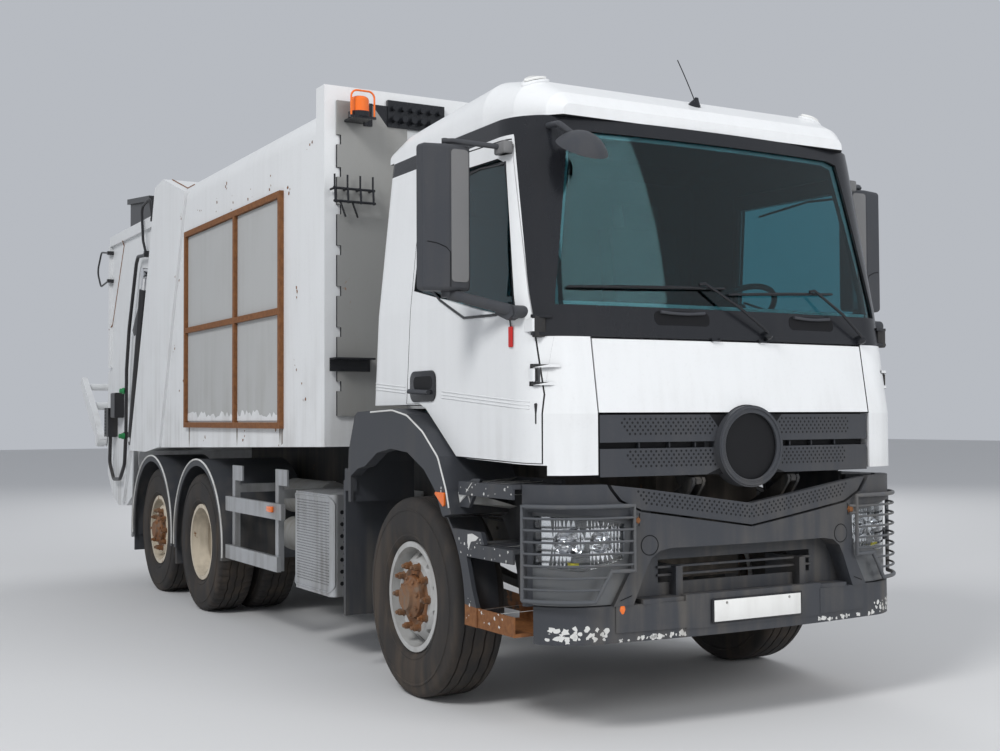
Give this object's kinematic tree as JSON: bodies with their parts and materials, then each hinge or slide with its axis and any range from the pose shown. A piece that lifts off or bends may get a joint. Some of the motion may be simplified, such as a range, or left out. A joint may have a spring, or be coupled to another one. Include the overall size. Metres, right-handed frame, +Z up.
{
  "type": "garbage truck",
  "caption": "Refuse collection truck with a tilting forward cab, a rear-loading compactor body, a lifting tailgate and a bin lift.",
  "frame": {"origin": "on the ground, below the middle of the bounding box", "axes": "+X forwards, +Y to the driver's left, +Z up"},
  "size_m": [9.3957, 3.0064, 3.6098],
  "materials": {
    "white_paint": "satin, weathered",
    "body_paint": "satin, dusty",
    "charcoal_plastic": "matte",
    "frame_steel": "matte",
    "rusty_steel": "rough",
    "grey_steel": "weathered",
    "aluminium": "brushed",
    "cast_iron": "rough",
    "tyre": "matte",
    "rim_silver": "satin",
    "rim_cream": "weathered",
    "ram_black": "gloss",
    "ram_rod": "polished",
    "tinted_glass": "clear",
    "lamp_glass": "clear",
    "amber_lens": "gloss",
    "interior": "matte",
    "seat_fabric": "matte"
  },
  "bodies": {
    "chassis": {"chassis_frame": "frame_steel", "driveline": "cast_iron", "axles": "cast_iron", "springs": "frame_steel", "load_body": "body_paint", "side_frames": "rusty_steel", "bulkhead_fittings": "grey_steel", "beacon": "amber_lens", "bumper": "charcoal_plastic", "bumper_slat": "charcoal_plastic", "headlamps": "lamp_glass", "lamp_guards": "frame_steel", "entry_steps": "grey_steel", "front_fenders": "charcoal_plastic", "rear_mudguards": "charcoal_plastic", "guards": "aluminium", "exhaust_box": "aluminium", "fuel_tank": "aluminium", "air_tanks": "grey_steel"},
    "cab": {"cab_shell": "white_paint", "cab_roof": "white_paint", "cab_corner_panels": "white_paint", "cab_black_surround": "charcoal_plastic", "windscreen": "tinted_glass", "seats": "seat_fabric", "dashboard": "interior", "kerb_mirror": "grey_steel"},
    "front_flap": {"front_flap": "white_paint", "grille": "charcoal_plastic"},
    "door_right": {"door_right": "white_paint", "door_glass_right": "tinted_glass", "mirror_right": "charcoal_plastic"},
    "door_left": {"door_left": "white_paint", "door_glass_left": "tinted_glass", "mirror_left": "charcoal_plastic"},
    "tailgate": {"tailgate": "body_paint", "tail_fittings": "ram_black"},
    "bin_lift": {"bin_lift": "body_paint"},
    "lift_barrel_left": {"lift_barrel_left": "ram_black"},
    "lift_barrel_right": {"lift_barrel_right": "ram_black"},
    "lift_rod_left": {"lift_rod_left": "ram_rod"},
    "lift_rod_right": {"lift_rod_right": "ram_rod"},
    "front_knuckle_left": {"front_knuckle_left": "cast_iron"},
    "front_wheel_left": {"front_rim_left": "rim_silver", "front_tyre_left": "tyre"},
    "front_knuckle_right": {"front_knuckle_right": "cast_iron"},
    "front_wheel_right": {"front_rim_right": "rim_silver", "front_tyre_right": "tyre"},
    "tag_knuckle_left": {"tag_knuckle_left": "cast_iron"},
    "tag_wheel_left": {"tag_rim_left": "rim_cream", "tag_tyre_left": "tyre"},
    "tag_knuckle_right": {"tag_knuckle_right": "cast_iron"},
    "tag_wheel_right": {"tag_rim_right": "rim_cream", "tag_tyre_right": "tyre"},
    "drive_wheels_left": {"drive_rims_left": "rim_cream", "drive_tyres_left": "tyre"},
    "drive_wheels_right": {"drive_rims_right": "rim_cream", "drive_tyres_right": "tyre"}
  },
  "joints": [
    {"name": "cab_tilt", "type": "hinge", "parent": "chassis", "child": "cab", "pos_m": [4.616, 0, 1.174], "axis": [0, 1, 0], "range_deg": [0, 60]},
    {"name": "front_flap_hinge", "type": "hinge", "parent": "cab", "child": "front_flap", "pos_m": [4.59, 0, 1.856], "axis": [0, -1, 0], "range_deg": [0, 85]},
    {"name": "door_right_hinge", "type": "hinge", "parent": "cab", "child": "door_right", "pos_m": [4.455, -1.112, 1.5], "axis": [0, 0, 1], "range_deg": [0, 72]},
    {"name": "door_left_hinge", "type": "hinge", "parent": "cab", "child": "door_left", "pos_m": [4.455, 1.112, 1.5], "axis": [0, 0, -1], "range_deg": [0, 72]},
    {"name": "steer_left", "type": "hinge", "parent": "chassis", "child": "front_knuckle_left", "pos_m": [3.29, 0.83, 0.53], "axis": [0, 0, 1], "range_deg": [-35, 35]},
    {"name": "steer_right", "type": "hinge", "parent": "chassis", "child": "front_knuckle_right", "pos_m": [3.29, -0.83, 0.53], "axis": [0, 0, 1], "range_deg": [-35, 35]},
    {"name": "tag_steer_left", "type": "hinge", "parent": "chassis", "child": "tag_knuckle_left", "pos_m": [-1.76, 0.83, 0.53], "axis": [0, 0, 1], "range_deg": [-14, 14]},
    {"name": "tag_steer_right", "type": "hinge", "parent": "chassis", "child": "tag_knuckle_right", "pos_m": [-1.76, -0.83, 0.53], "axis": [0, 0, 1], "range_deg": [-14, 14]},
    {"name": "front_wheel_left_spin", "type": "hinge", "parent": "front_knuckle_left", "child": "front_wheel_left", "pos_m": [3.29, 1.045, 0.53], "axis": [0, 1, 0], "continuous": true},
    {"name": "front_wheel_right_spin", "type": "hinge", "parent": "front_knuckle_right", "child": "front_wheel_right", "pos_m": [3.29, -1.045, 0.53], "axis": [0, 1, 0], "continuous": true},
    {"name": "tag_wheel_left_spin", "type": "hinge", "parent": "tag_knuckle_left", "child": "tag_wheel_left", "pos_m": [-1.76, 1.045, 0.53], "axis": [0, 1, 0], "continuous": true},
    {"name": "tag_wheel_right_spin", "type": "hinge", "parent": "tag_knuckle_right", "child": "tag_wheel_right", "pos_m": [-1.76, -1.045, 0.53], "axis": [0, 1, 0], "continuous": true},
    {"name": "drive_wheels_left_spin", "type": "hinge", "parent": "chassis", "child": "drive_wheels_left", "pos_m": [-0.41, 0.915, 0.53], "axis": [0, 1, 0], "continuous": true},
    {"name": "drive_wheels_right_spin", "type": "hinge", "parent": "chassis", "child": "drive_wheels_right", "pos_m": [-0.41, -0.915, 0.53], "axis": [0, 1, 0], "continuous": true},
    {"name": "tailgate_lift", "type": "hinge", "parent": "chassis", "child": "tailgate", "pos_m": [-1.75, 0, 3.47], "axis": [0, 1, 0], "range_deg": [0, 85]},
    {"name": "bin_lift_swing", "type": "hinge", "parent": "tailgate", "child": "bin_lift", "pos_m": [-3.89, 0, 1.29], "axis": [0, 1, 0], "range_deg": [-50, 50]},
    {"name": "lift_barrel_left_swing", "type": "hinge", "parent": "chassis", "child": "lift_barrel_left", "pos_m": [-2.595, 1.21, 1.3], "axis": [0, 1, 0], "range_deg": [-18, 1]},
    {"name": "lift_rod_left_slide", "type": "slide", "parent": "lift_barrel_left", "child": "lift_rod_left", "axis": [0.2844, 0, 0.9587], "range_m": [0, 1]},
    {"name": "lift_barrel_right_swing", "type": "hinge", "parent": "chassis", "child": "lift_barrel_right", "pos_m": [-2.595, -1.21, 1.3], "axis": [0, 1, 0], "range_deg": [-18, 1]},
    {"name": "lift_rod_right_slide", "type": "slide", "parent": "lift_barrel_right", "child": "lift_rod_right", "axis": [0.2844, 0, 0.9587], "range_m": [0, 1]}
  ],
  "couplings": [
    {"joint": "steer_right", "follows": "steer_left", "ratio": 1},
    {"joint": "tag_steer_left", "follows": "steer_left", "ratio": -0.38},
    {"joint": "tag_steer_right", "follows": "steer_left", "ratio": -0.38},
    {"joint": "lift_barrel_left_swing", "follows": "tailgate_lift", "ratio": -0.2},
    {"joint": "lift_barrel_right_swing", "follows": "tailgate_lift", "ratio": -0.2},
    {"joint": "lift_rod_left_slide", "follows": "tailgate_lift", "m_per_rad": 0.575},
    {"joint": "lift_rod_right_slide", "follows": "tailgate_lift", "m_per_rad": 0.575}
  ]
}
